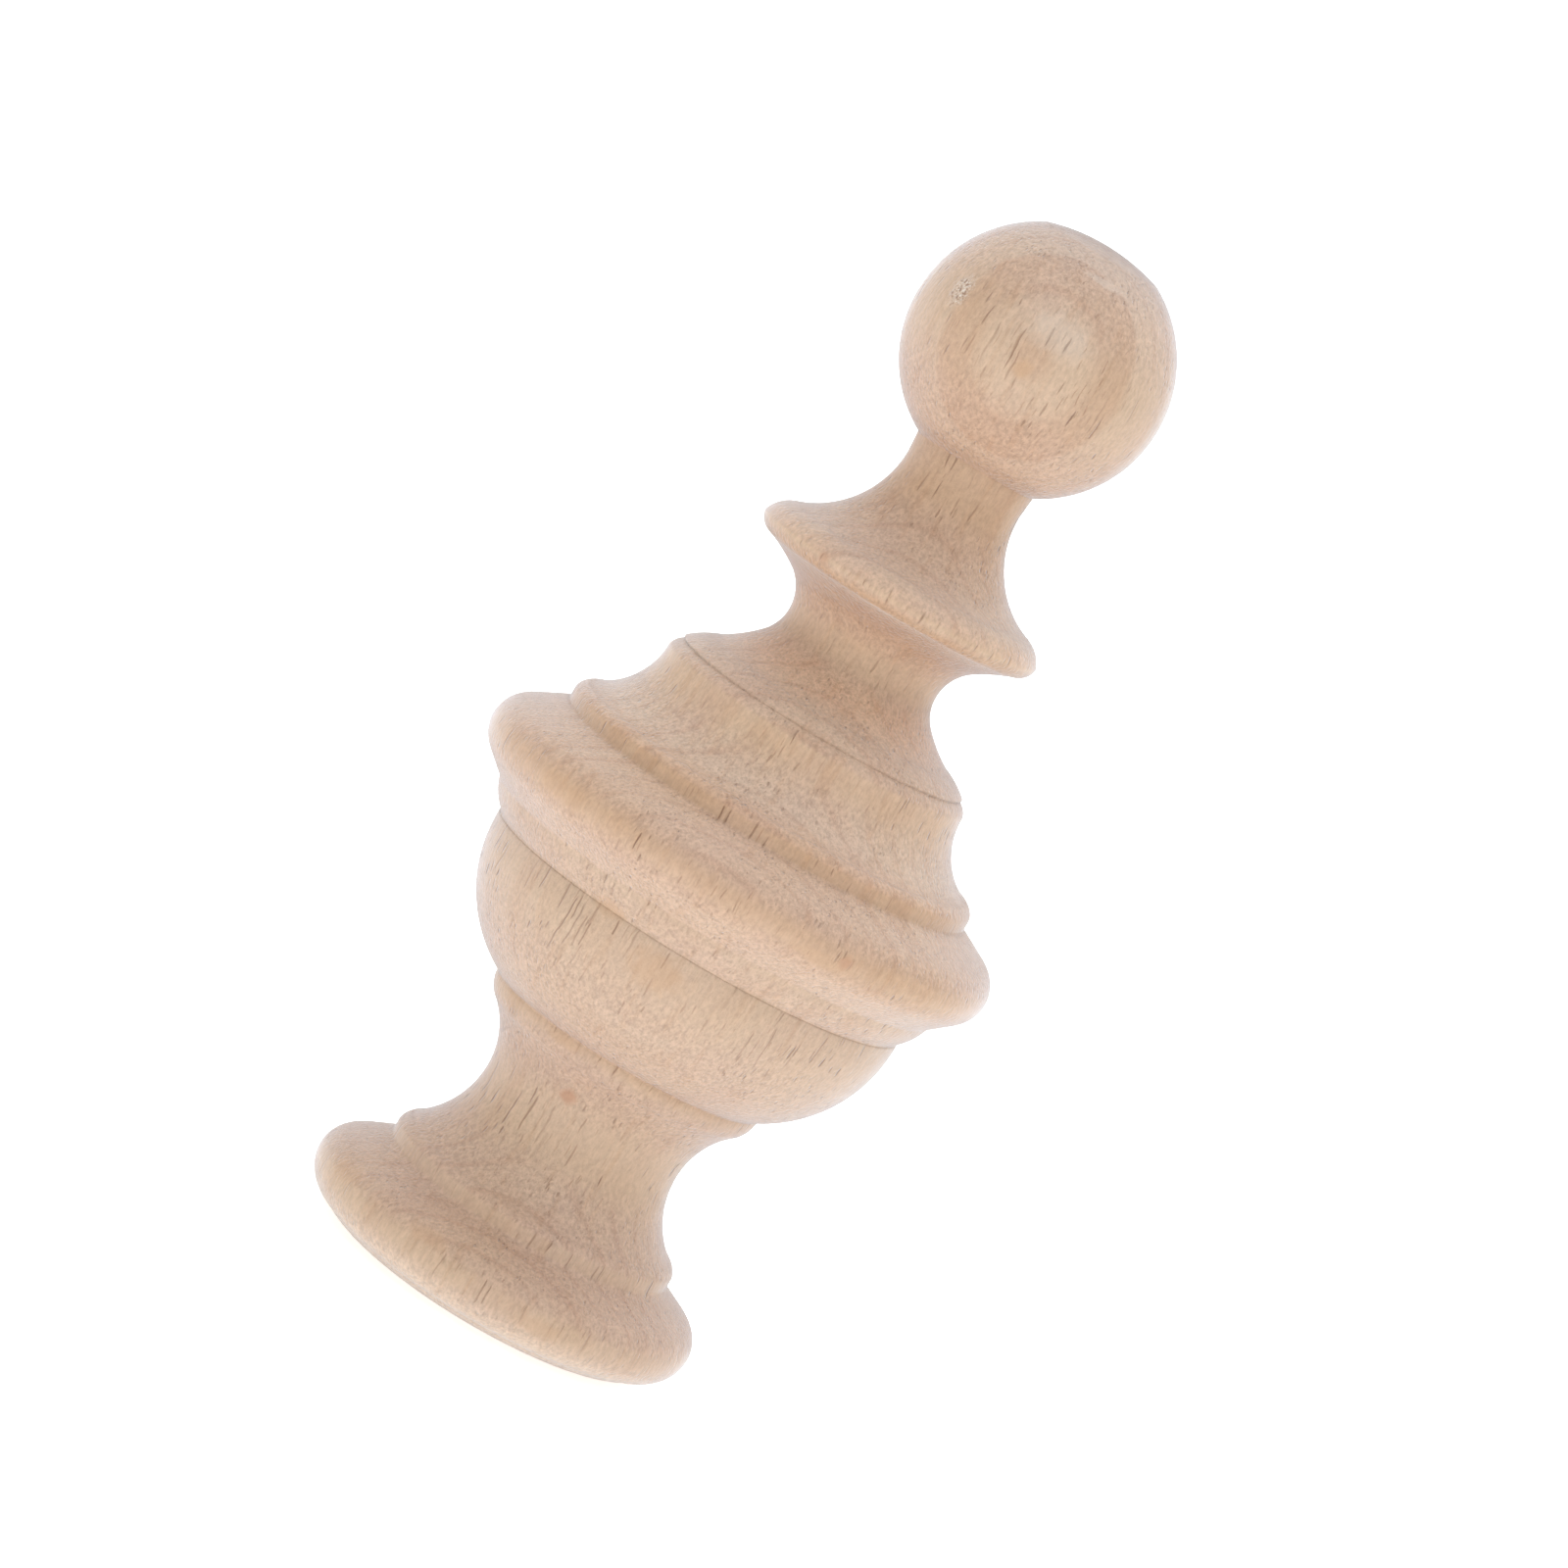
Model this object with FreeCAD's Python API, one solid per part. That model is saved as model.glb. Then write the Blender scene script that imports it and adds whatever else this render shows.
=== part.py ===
import FreeCAD, Part
import math
import os

# Sizes in millimetres, from the flat foot upward. A diameter belongs to the level where
# its member ends, and a height is that member's own.

# Foot: a flat seat with a round edge, a round bead, and a straight slope up to the step.
SEAT_DIA = 28.6
SEAT_EDGE_DIA = 33.2
SEAT_EDGE_HEIGHT = 0.95
SEAT_EDGE_BULGE = 0.15
FOOT_DIA = 37.7
FOOT_UNDERSIDE_HEIGHT = 3.05
FOOT_SHOULDER_DIA = 34.5
FOOT_SHOULDER_HEIGHT = 2.5
FOOT_SLOPE_HEIGHT = 1.7

# Step on the foot, with its soft upper edge.
STEP_DIA = 27.9
STEP_HEIGHT = 1.3
STEP_EDGE_DIA = 26.0
STEP_EDGE_HEIGHT = 1.05
STEP_EDGE_BULGE = 0.15

# Long hollow between the step and the ring.
STEM_DIA = 19.4
STEM_LOWER_HEIGHT = 6.95
STEM_UPPER_HEIGHT = 6.2

# Narrow ring below the bowl.
RING_LOWER_DIA = 25.2
RING_UPPER_DIA = 26.6
RING_HEIGHT = 2.0
RING_BULGE = 0.2

# Bowl, and the fine line cut round it below the lip.
BOWL_DIA = 40.5
BOWL_HEIGHT = 11.5
BOWL_RIM_HEIGHT = 0.5
BOWL_LINE_DEPTH = 0.1
BOWL_LINE_HEIGHT = 0.35

# Lip that carries the collar.
LIP_DIA = 43.7
LIP_HEIGHT = 2.55
LIP_BULGE = 0.22

# Collar: a slanting underside, a round edge and a sloping top.
COLLAR_UNDERSIDE_DIA = 47.8
COLLAR_UNDERSIDE_HEIGHT = 1.8
COLLAR_DIA = 50.0
COLLAR_LOWER_EDGE_HEIGHT = 2.4
COLLAR_UPPER_EDGE_DIA = 46.8
COLLAR_UPPER_EDGE_HEIGHT = 2.7
COLLAR_TOP_HEIGHT = 1.8

# Upright band above the collar, with its soft upper edge.
BAND_DIA = 40.0
BAND_HEIGHT = 1.1
BAND_EDGE_DIA = 37.6
BAND_EDGE_HEIGHT = 1.1
BAND_EDGE_BULGE = 0.25

# Hollow cap that rises to a rounded shoulder, and the fine line cut round above it.
CAP_DIA = 29.8
CAP_HEIGHT = 6.3
SHOULDER_DIA = 28.2
SHOULDER_HEIGHT = 0.95
SHOULDER_BULGE = 0.12
SHOULDER_LINE_DEPTH = 0.14
SHOULDER_LINE_HEIGHT = 0.35

# Lower neck: a sloping shoulder, a hollow, and the flare under the disc.
NECK_SHOULDER_DIA = 23.2
NECK_SHOULDER_HEIGHT = 1.5
NECK_SHOULDER_BULGE = 0.13
NECK_SLOPE_DIA = 16.8
NECK_SLOPE_HEIGHT = 2.6
NECK_SLOPE_HOLLOW = 0.16
LOWER_NECK_DIA = 15.0
LOWER_NECK_HEIGHT = 2.5
LOWER_NECK_TOP_DIA = 18.4
LOWER_NECK_TOP_HEIGHT = 3.35

# Disc with a thin round edge.
DISC_UNDERSIDE_DIA = 24.8
DISC_UNDERSIDE_HEIGHT = 1.7
DISC_UNDERSIDE_HOLLOW = 0.1
DISC_DIA = 27.4
DISC_LOWER_EDGE_HEIGHT = 1.4
DISC_LOWER_EDGE_BULGE = 0.3
DISC_TOP_DIA = 23.4
DISC_UPPER_EDGE_HEIGHT = 1.9
DISC_UPPER_EDGE_BULGE = 0.33

# Upper neck, which sweeps up from the disc.
UPPER_NECK_DIA = 11.3
UPPER_NECK_HEIGHT = 8.75
UPPER_NECK_TOP_DIA = 11.6
UPPER_NECK_TOP_HEIGHT = 1.95

# Ball with a slightly flattened crown.
BALL_DIA = 24.1
BALL_LOWER_HEIGHT = 10.4
CROWN_DIA = 11.2
BALL_UPPER_HEIGHT = 10.7
CROWN_HEIGHT = 0.9

# Blind pilot hole in the foot, with the cone of a drill point at its end.
PILOT_HOLE_DIA = 6.0
PILOT_HOLE_DEPTH = 25.0
DRILL_POINT_ANGLE = 118.0


def above(below, dia, rise):
    """Point of the outline at half a diameter, a rise above the point below."""
    return FreeCAD.Vector(dia / 2, 0, below.z + rise)


def line(start, end):
    return Part.LineSegment(start, end)


def bulged(start, end, bulge):
    """Arc from start up to end that stands out by the bulge; a negative one is hollow."""
    chord = end - start
    outward = FreeCAD.Vector(chord.z, 0, -chord.x).normalize()
    return Part.Arc(start, (start + end) / 2 + outward * bulge, end)


def upright(level, end):
    """Arc that stands upright at the point level and runs to the point end."""
    run = end.x - level.x
    rise = end.z - level.z
    radius = (run * run + rise * rise) / (2 * run)
    half_turn = math.atan2(rise / radius, 1 - run / radius) / 2
    middle = level + FreeCAD.Vector(
        radius * (1 - math.cos(half_turn)), 0, radius * math.sin(half_turn)
    )
    return Part.Arc(level, middle, end)


def domed(rim, top):
    """Arc that lies flat at the top, on the axis, and comes down to the rim."""
    drop = top.z - rim.z
    radius = (rim.x * rim.x + drop * drop) / (2 * drop)
    half_turn = math.asin(rim.x / radius) / 2
    middle = top + FreeCAD.Vector(
        radius * math.sin(half_turn), 0, radius * (math.cos(half_turn) - 1)
    )
    return Part.Arc(rim, middle, top)


base = FreeCAD.Vector(0, 0, 0)
up = FreeCAD.Vector(0, 0, 1)

# Points of the outline, each one set on the member below it.
seat = above(base, SEAT_DIA, 0)
seat_edge = above(seat, SEAT_EDGE_DIA, SEAT_EDGE_HEIGHT)
foot = above(seat_edge, FOOT_DIA, FOOT_UNDERSIDE_HEIGHT)
foot_shoulder = above(foot, FOOT_SHOULDER_DIA, FOOT_SHOULDER_HEIGHT)
step_foot = above(foot_shoulder, STEP_DIA, FOOT_SLOPE_HEIGHT)
step_top = above(step_foot, STEP_DIA, STEP_HEIGHT)
step_edge = above(step_top, STEP_EDGE_DIA, STEP_EDGE_HEIGHT)
stem = above(step_edge, STEM_DIA, STEM_LOWER_HEIGHT)
ring_lower = above(stem, RING_LOWER_DIA, STEM_UPPER_HEIGHT)
ring_upper = above(ring_lower, RING_UPPER_DIA, RING_HEIGHT)
bowl = above(ring_upper, BOWL_DIA, BOWL_HEIGHT)
bowl_rim = above(bowl, BOWL_DIA, BOWL_RIM_HEIGHT)
bowl_line = above(bowl_rim, BOWL_DIA - 2 * BOWL_LINE_DEPTH, BOWL_LINE_HEIGHT / 2)
lip_foot = above(bowl_line, BOWL_DIA, BOWL_LINE_HEIGHT / 2)
lip = above(lip_foot, LIP_DIA, LIP_HEIGHT)
collar_underside = above(lip, COLLAR_UNDERSIDE_DIA, COLLAR_UNDERSIDE_HEIGHT)
collar = above(collar_underside, COLLAR_DIA, COLLAR_LOWER_EDGE_HEIGHT)
collar_edge = above(collar, COLLAR_UPPER_EDGE_DIA, COLLAR_UPPER_EDGE_HEIGHT)
band_foot = above(collar_edge, BAND_DIA, COLLAR_TOP_HEIGHT)
band_top = above(band_foot, BAND_DIA, BAND_HEIGHT)
band_edge = above(band_top, BAND_EDGE_DIA, BAND_EDGE_HEIGHT)
cap = above(band_edge, CAP_DIA, CAP_HEIGHT)
shoulder = above(cap, SHOULDER_DIA, SHOULDER_HEIGHT)
shoulder_line = above(
    shoulder, SHOULDER_DIA - 2 * SHOULDER_LINE_DEPTH, SHOULDER_LINE_HEIGHT / 2
)
neck_foot = above(shoulder_line, SHOULDER_DIA, SHOULDER_LINE_HEIGHT / 2)
neck_shoulder = above(neck_foot, NECK_SHOULDER_DIA, NECK_SHOULDER_HEIGHT)
neck_slope = above(neck_shoulder, NECK_SLOPE_DIA, NECK_SLOPE_HEIGHT)
lower_neck = above(neck_slope, LOWER_NECK_DIA, LOWER_NECK_HEIGHT)
lower_neck_top = above(lower_neck, LOWER_NECK_TOP_DIA, LOWER_NECK_TOP_HEIGHT)
disc_underside = above(lower_neck_top, DISC_UNDERSIDE_DIA, DISC_UNDERSIDE_HEIGHT)
disc = above(disc_underside, DISC_DIA, DISC_LOWER_EDGE_HEIGHT)
disc_top = above(disc, DISC_TOP_DIA, DISC_UPPER_EDGE_HEIGHT)
upper_neck = above(disc_top, UPPER_NECK_DIA, UPPER_NECK_HEIGHT)
upper_neck_top = above(upper_neck, UPPER_NECK_TOP_DIA, UPPER_NECK_TOP_HEIGHT)
ball = above(upper_neck_top, BALL_DIA, BALL_LOWER_HEIGHT)
crown = above(ball, CROWN_DIA, BALL_UPPER_HEIGHT)
top = above(crown, 0, CROWN_HEIGHT)

outline = [
    line(base, seat),
    bulged(seat, seat_edge, SEAT_EDGE_BULGE),
    upright(foot, seat_edge),
    upright(foot, foot_shoulder),
    line(foot_shoulder, step_foot),
    line(step_foot, step_top),
    bulged(step_top, step_edge, STEP_EDGE_BULGE),
    upright(stem, step_edge),
    upright(stem, ring_lower),
    bulged(ring_lower, ring_upper, RING_BULGE),
    upright(bowl, ring_upper),
    line(bowl, bowl_rim),
    line(bowl_rim, bowl_line),
    line(bowl_line, lip_foot),
    bulged(lip_foot, lip, LIP_BULGE),
    line(lip, collar_underside),
    upright(collar, collar_underside),
    upright(collar, collar_edge),
    line(collar_edge, band_foot),
    line(band_foot, band_top),
    bulged(band_top, band_edge, BAND_EDGE_BULGE),
    upright(cap, band_edge),
    bulged(cap, shoulder, SHOULDER_BULGE),
    line(shoulder, shoulder_line),
    line(shoulder_line, neck_foot),
    bulged(neck_foot, neck_shoulder, NECK_SHOULDER_BULGE),
    bulged(neck_shoulder, neck_slope, -NECK_SLOPE_HOLLOW),
    upright(lower_neck, neck_slope),
    upright(lower_neck, lower_neck_top),
    bulged(lower_neck_top, disc_underside, -DISC_UNDERSIDE_HOLLOW),
    bulged(disc_underside, disc, DISC_LOWER_EDGE_BULGE),
    bulged(disc, disc_top, DISC_UPPER_EDGE_BULGE),
    upright(upper_neck, disc_top),
    line(upper_neck, upper_neck_top),
    upright(ball, upper_neck_top),
    upright(ball, crown),
    domed(crown, top),
    line(top, base),
]
section = Part.Face(Part.Wire([curve.toShape() for curve in outline]))
turned = section.revolve(base, up, 360)

# The drill leaves a cone at the blind end of the hole.
hole_radius = PILOT_HOLE_DIA / 2
drill_point = hole_radius / math.tan(math.radians(DRILL_POINT_ANGLE / 2))
hole = Part.makeCylinder(hole_radius, PILOT_HOLE_DEPTH).fuse(
    Part.makeCone(hole_radius, 0, drill_point, FreeCAD.Vector(0, 0, PILOT_HOLE_DEPTH))
)
finial = turned.cut(hole)

os.makedirs("parts", exist_ok=True)
finial.exportStep("parts/turned_finial.step")
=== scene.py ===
import math

import bpy
from mathutils import Matrix, Vector


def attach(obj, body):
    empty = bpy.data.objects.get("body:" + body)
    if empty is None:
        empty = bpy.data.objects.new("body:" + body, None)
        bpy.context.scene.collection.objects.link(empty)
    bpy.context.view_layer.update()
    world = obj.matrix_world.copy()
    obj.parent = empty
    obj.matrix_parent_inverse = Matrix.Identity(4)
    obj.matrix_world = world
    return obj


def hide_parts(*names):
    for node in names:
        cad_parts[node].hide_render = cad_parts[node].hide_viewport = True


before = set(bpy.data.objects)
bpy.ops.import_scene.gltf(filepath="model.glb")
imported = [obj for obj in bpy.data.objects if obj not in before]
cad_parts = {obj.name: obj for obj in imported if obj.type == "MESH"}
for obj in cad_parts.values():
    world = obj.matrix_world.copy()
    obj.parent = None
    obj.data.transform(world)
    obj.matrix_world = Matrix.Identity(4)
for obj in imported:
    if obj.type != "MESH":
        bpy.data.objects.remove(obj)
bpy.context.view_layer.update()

# The finial is one piece of bare, pale rubberwood. It is turned on a lathe, with its grain
# running from foot to ball, and sanded by hand. A dowel screw in the pilot hole under its foot
# fixes it to the end of the curtain pole.
MM = 0.001

# diameters and heights of the turned members, in millimetres, from the seat up
SEAT_DIA = 28.6
SEAT_EDGE_DIA = 33.2
SEAT_EDGE_HEIGHT = 0.95
SEAT_EDGE_BULGE = 0.15
FOOT_DIA = 37.7
FOOT_UNDERSIDE_HEIGHT = 3.05
FOOT_SHOULDER_DIA = 34.5
FOOT_SHOULDER_HEIGHT = 2.5
FOOT_SLOPE_HEIGHT = 1.7
STEP_DIA = 27.9
STEP_HEIGHT = 1.3
STEP_EDGE_DIA = 26.0
STEP_EDGE_HEIGHT = 1.05
STEP_EDGE_BULGE = 0.15
STEM_DIA = 19.4
STEM_LOWER_HEIGHT = 6.95
STEM_UPPER_HEIGHT = 6.2
RING_LOWER_DIA = 25.2
RING_UPPER_DIA = 26.6
RING_HEIGHT = 2.0
RING_BULGE = 0.2
BOWL_DIA = 40.5
BOWL_HEIGHT = 11.5
BOWL_RIM_HEIGHT = 0.5
BOWL_LINE_DEPTH = 0.07
BOWL_LINE_HEIGHT = 0.35
LIP_DIA = 43.7
LIP_HEIGHT = 2.55
LIP_BULGE = 0.22
COLLAR_UNDERSIDE_DIA = 47.8
COLLAR_UNDERSIDE_HEIGHT = 1.8
COLLAR_DIA = 50.0
COLLAR_LOWER_EDGE_HEIGHT = 2.4
COLLAR_UPPER_EDGE_DIA = 46.8
COLLAR_UPPER_EDGE_HEIGHT = 2.7
COLLAR_TOP_HEIGHT = 1.8
BAND_DIA = 40.0
BAND_HEIGHT = 1.1
BAND_EDGE_DIA = 37.6
BAND_EDGE_HEIGHT = 1.1
BAND_EDGE_BULGE = 0.25
CAP_DIA = 29.8
CAP_HEIGHT = 6.3
SHOULDER_DIA = 28.2
SHOULDER_HEIGHT = 0.95
SHOULDER_BULGE = 0.12
SHOULDER_LINE_DEPTH = 0.14
SHOULDER_LINE_HEIGHT = 0.35
NECK_SHOULDER_DIA = 23.2
NECK_SHOULDER_HEIGHT = 1.5
NECK_SHOULDER_BULGE = 0.13
NECK_SLOPE_DIA = 16.8
NECK_SLOPE_HEIGHT = 2.6
NECK_SLOPE_HOLLOW = 0.16
LOWER_NECK_DIA = 15.0
LOWER_NECK_HEIGHT = 2.5
LOWER_NECK_TOP_DIA = 18.4
LOWER_NECK_TOP_HEIGHT = 3.35
DISC_UNDERSIDE_DIA = 24.8
DISC_UNDERSIDE_HEIGHT = 1.7
DISC_UNDERSIDE_HOLLOW = 0.1
DISC_DIA = 27.4
DISC_LOWER_EDGE_HEIGHT = 1.4
DISC_LOWER_EDGE_BULGE = 0.3
DISC_TOP_DIA = 23.4
DISC_UPPER_EDGE_HEIGHT = 1.9
DISC_UPPER_EDGE_BULGE = 0.33
UPPER_NECK_DIA = 11.3
UPPER_NECK_HEIGHT = 8.75
UPPER_NECK_TOP_DIA = 11.6
UPPER_NECK_TOP_HEIGHT = 1.95
BALL_DIA = 24.1
BALL_LOWER_HEIGHT = 10.4
CROWN_DIA = 11.2
BALL_UPPER_HEIGHT = 10.7
CROWN_HEIGHT = 0.9
PILOT_HOLE_DIA = 6.0
PILOT_HOLE_DEPTH = 25.0
DRILL_POINT_ANGLE = 118

ARRIS = 0.14  # how far sanding takes each corner back
SMOOTH_JOIN = 0.12  # runs that meet at less than this turn, in radians, have no corner
# a step along an arc stays under this turn and this length, and a straight step under twice that
ARC_STEP = math.radians(4)
LONGEST_STEP = 0.55


def above(below, dia, rise):
    """The point on the profile that lies a rise above another, at a diameter."""
    return Vector((dia / 2, below.y + rise))


def straight(start, end):
    parts = max(1, math.ceil((end - start).length / (2 * LONGEST_STEP)))
    return [start.lerp(end, i / parts) for i in range(parts + 1)]


def arc(start, middle, end):
    """Points along the arc through three points."""
    (ax, ay), (bx, by), (cx, cy) = start, middle, end
    twice = 2 * (ax * (by - cy) + bx * (cy - ay) + cx * (ay - by))
    a, b, c = start.length_squared, middle.length_squared, end.length_squared
    centre = Vector((
        (a * (by - cy) + b * (cy - ay) + c * (ay - by)) / twice,
        (a * (cx - bx) + b * (ax - cx) + c * (bx - ax)) / twice,
    ))
    spoke = start - centre
    first = math.atan2(spoke.y, spoke.x)
    last = math.atan2(cy - centre.y, cx - centre.x)
    sweep = (last - first + math.pi) % (2 * math.pi) - math.pi
    parts = math.ceil(max(
        2, abs(sweep) / ARC_STEP, abs(sweep) * spoke.length / LONGEST_STEP
    ))
    turns = [first + sweep * i / parts for i in range(parts + 1)]
    points = [centre + spoke.length * Vector((math.cos(t), math.sin(t))) for t in turns]
    return [start.copy(), *points[1:-1], end.copy()]


def bulged(start, end, bulge):
    """An arc that stands out from its chord by the bulge, or in where it is negative."""
    chord = end - start
    outward = Vector((chord.y, -chord.x)).normalized()
    return arc(start, (start + end) / 2 + outward * bulge, end)


def upright(level, end):
    """An arc that is upright at its first point."""
    run, rise = end.x - level.x, end.y - level.y
    radius = (run * run + rise * rise) / (2 * run)
    half_turn = math.atan2(rise / radius, 1 - run / radius) / 2
    middle = level + Vector((radius * (1 - math.cos(half_turn)), radius * math.sin(half_turn)))
    return arc(level, middle, end)


def domed(rim, top):
    """An arc that is level at the top, on the axis."""
    drop = top.y - rim.y
    radius = (rim.x * rim.x + drop * drop) / (2 * drop)
    half_turn = math.asin(rim.x / radius) / 2
    middle = top + Vector((radius * math.sin(half_turn), radius * (math.cos(half_turn) - 1)))
    return arc(rim, middle, top)


def upward(points):
    return points[::-1]


def cut_back(points, arris):
    """Takes the first points of a line away, up to a distance from its start."""
    reach = min(arris, 0.45 * (points[-1] - points[0]).length)
    rest = [p for p in points[1:] if (p - points[0]).length > reach * 1.2]
    beyond = rest[0] - points[0]
    return [points[0] + beyond.normalized() * reach, *rest]


def soften(runs):
    """Joins the runs of points into one line and sands its corners round."""
    runs = [list(run) for run in runs]
    line = [runs[0][0]]
    for run, following in zip(runs, [*runs[1:], None]):
        last = following is None
        if last or (run[-1] - run[-2]).angle(following[1] - following[0]) < SMOOTH_JOIN:
            line += run[1:]
            continue
        corner = run[-1]
        arris = SPECIAL_ARRIS.get(tuple(corner), ARRIS)
        before = cut_back(run[::-1], arris)[::-1]
        after = cut_back(following, arris)
        start, end = before[-1], after[0]
        line += before[1:]
        line += [
            start.lerp(corner, t).lerp(corner.lerp(end, t), t) for t in (0.2, 0.4, 0.6, 0.8)
        ]
        following[:] = [end, *after]
    return line


hole_foot = Vector((PILOT_HOLE_DIA / 2, 0))
hole_end = Vector((PILOT_HOLE_DIA / 2, PILOT_HOLE_DEPTH))
hole_tip = Vector((
    0, PILOT_HOLE_DEPTH + PILOT_HOLE_DIA / 2 / math.tan(math.radians(DRILL_POINT_ANGLE / 2))
))
seat = Vector((SEAT_DIA / 2, 0))
seat_edge = above(seat, SEAT_EDGE_DIA, SEAT_EDGE_HEIGHT)
foot = above(seat_edge, FOOT_DIA, FOOT_UNDERSIDE_HEIGHT)
foot_shoulder = above(foot, FOOT_SHOULDER_DIA, FOOT_SHOULDER_HEIGHT)
step_foot = above(foot_shoulder, STEP_DIA, FOOT_SLOPE_HEIGHT)
step_top = above(step_foot, STEP_DIA, STEP_HEIGHT)
step_edge = above(step_top, STEP_EDGE_DIA, STEP_EDGE_HEIGHT)
stem = above(step_edge, STEM_DIA, STEM_LOWER_HEIGHT)
ring_lower = above(stem, RING_LOWER_DIA, STEM_UPPER_HEIGHT)
ring_upper = above(ring_lower, RING_UPPER_DIA, RING_HEIGHT)
bowl = above(ring_upper, BOWL_DIA, BOWL_HEIGHT)
bowl_rim = above(bowl, BOWL_DIA, BOWL_RIM_HEIGHT)
bowl_line = above(bowl_rim, BOWL_DIA - 2 * BOWL_LINE_DEPTH, BOWL_LINE_HEIGHT / 2)
lip_foot = above(bowl_rim, BOWL_DIA, BOWL_LINE_HEIGHT)
lip = above(lip_foot, LIP_DIA, LIP_HEIGHT)
collar_underside = above(lip, COLLAR_UNDERSIDE_DIA, COLLAR_UNDERSIDE_HEIGHT)
collar = above(collar_underside, COLLAR_DIA, COLLAR_LOWER_EDGE_HEIGHT)
collar_edge = above(collar, COLLAR_UPPER_EDGE_DIA, COLLAR_UPPER_EDGE_HEIGHT)
band_foot = above(collar_edge, BAND_DIA, COLLAR_TOP_HEIGHT)
band_top = above(band_foot, BAND_DIA, BAND_HEIGHT)
band_edge = above(band_top, BAND_EDGE_DIA, BAND_EDGE_HEIGHT)
cap = above(band_edge, CAP_DIA, CAP_HEIGHT)
shoulder = above(cap, SHOULDER_DIA, SHOULDER_HEIGHT)
shoulder_line = above(
    shoulder, SHOULDER_DIA - 2 * SHOULDER_LINE_DEPTH, SHOULDER_LINE_HEIGHT / 2
)
neck_foot = above(shoulder, SHOULDER_DIA, SHOULDER_LINE_HEIGHT)
neck_shoulder = above(neck_foot, NECK_SHOULDER_DIA, NECK_SHOULDER_HEIGHT)
neck_slope = above(neck_shoulder, NECK_SLOPE_DIA, NECK_SLOPE_HEIGHT)
lower_neck = above(neck_slope, LOWER_NECK_DIA, LOWER_NECK_HEIGHT)
lower_neck_top = above(lower_neck, LOWER_NECK_TOP_DIA, LOWER_NECK_TOP_HEIGHT)
disc_underside = above(lower_neck_top, DISC_UNDERSIDE_DIA, DISC_UNDERSIDE_HEIGHT)
disc = above(disc_underside, DISC_DIA, DISC_LOWER_EDGE_HEIGHT)
disc_top = above(disc, DISC_TOP_DIA, DISC_UPPER_EDGE_HEIGHT)
upper_neck = above(disc_top, UPPER_NECK_DIA, UPPER_NECK_HEIGHT)
upper_neck_top = above(upper_neck, UPPER_NECK_TOP_DIA, UPPER_NECK_TOP_HEIGHT)
ball = above(upper_neck_top, BALL_DIA, BALL_LOWER_HEIGHT)
crown = above(ball, CROWN_DIA, BALL_UPPER_HEIGHT)
top = above(crown, 0, CROWN_HEIGHT)

# corners that are crisper or softer than the rest
SPECIAL_ARRIS = {
    tuple(hole_end): 0.05, tuple(step_foot): 0.5, tuple(bowl_rim): 0.09,
    tuple(bowl_line): 0.05, tuple(lip_foot): 0.25, tuple(band_foot): 0.25,
    tuple(shoulder): 0.09, tuple(shoulder_line): 0.04, tuple(neck_foot): 0.09,
    tuple(upper_neck_top): 0.06,
}
profile = soften([
    straight(hole_tip, hole_end),
    straight(hole_end, hole_foot),
    straight(hole_foot, seat),
    bulged(seat, seat_edge, SEAT_EDGE_BULGE),
    upward(upright(foot, seat_edge)),
    upright(foot, foot_shoulder),
    straight(foot_shoulder, step_foot),
    straight(step_foot, step_top),
    bulged(step_top, step_edge, STEP_EDGE_BULGE),
    upward(upright(stem, step_edge)),
    upright(stem, ring_lower),
    bulged(ring_lower, ring_upper, RING_BULGE),
    upward(upright(bowl, ring_upper)),
    straight(bowl, bowl_rim),
    straight(bowl_rim, bowl_line),
    straight(bowl_line, lip_foot),
    bulged(lip_foot, lip, LIP_BULGE),
    straight(lip, collar_underside),
    upward(upright(collar, collar_underside)),
    upright(collar, collar_edge),
    straight(collar_edge, band_foot),
    straight(band_foot, band_top),
    bulged(band_top, band_edge, BAND_EDGE_BULGE),
    upward(upright(cap, band_edge)),
    bulged(cap, shoulder, SHOULDER_BULGE),
    straight(shoulder, shoulder_line),
    straight(shoulder_line, neck_foot),
    bulged(neck_foot, neck_shoulder, NECK_SHOULDER_BULGE),
    bulged(neck_shoulder, neck_slope, -NECK_SLOPE_HOLLOW),
    upward(upright(lower_neck, neck_slope)),
    upright(lower_neck, lower_neck_top),
    bulged(lower_neck_top, disc_underside, -DISC_UNDERSIDE_HOLLOW),
    bulged(disc_underside, disc, DISC_LOWER_EDGE_BULGE),
    bulged(disc, disc_top, DISC_UPPER_EDGE_BULGE),
    upward(upright(upper_neck, disc_top)),
    straight(upper_neck, upper_neck_top),
    upward(upright(ball, upper_neck_top)),
    upright(ball, crown),
    domed(crown, top),
])

template = bpy.data.meshes.new("lathe_template")
template.from_pydata([(p.x * MM, 0, p.y * MM) for p in profile], [], [])
finial = bpy.data.objects.new("turned_wood", template)
bpy.context.scene.collection.objects.link(finial)


def add(tree, kind, inputs=None, **settings):
    """Adds a node, and links or sets its inputs by name or number."""
    made = tree.nodes.new(kind)
    for name, value in settings.items():
        setattr(made, name, value)
    for key, value in (inputs or {}).items():
        if isinstance(value, bpy.types.NodeSocket):
            tree.links.new(value, made.inputs[key])
        else:
            made.inputs[key].default_value = value
    return made


# bare rubberwood: growth layers, vessels that show as short dark dashes along the grain, fine
# fibres, and the marks of the lathe and the sandpaper
wood = bpy.data.materials.new("bare_rubberwood")
wood.use_nodes = True
grain = wood.node_tree
grain.nodes.clear()


def maths(operation, *values, clamp=False, tree=grain):
    made = add(
        tree, "ShaderNodeMath", dict(enumerate(values)), operation=operation, use_clamp=clamp
    )
    return made.outputs[0]


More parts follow.
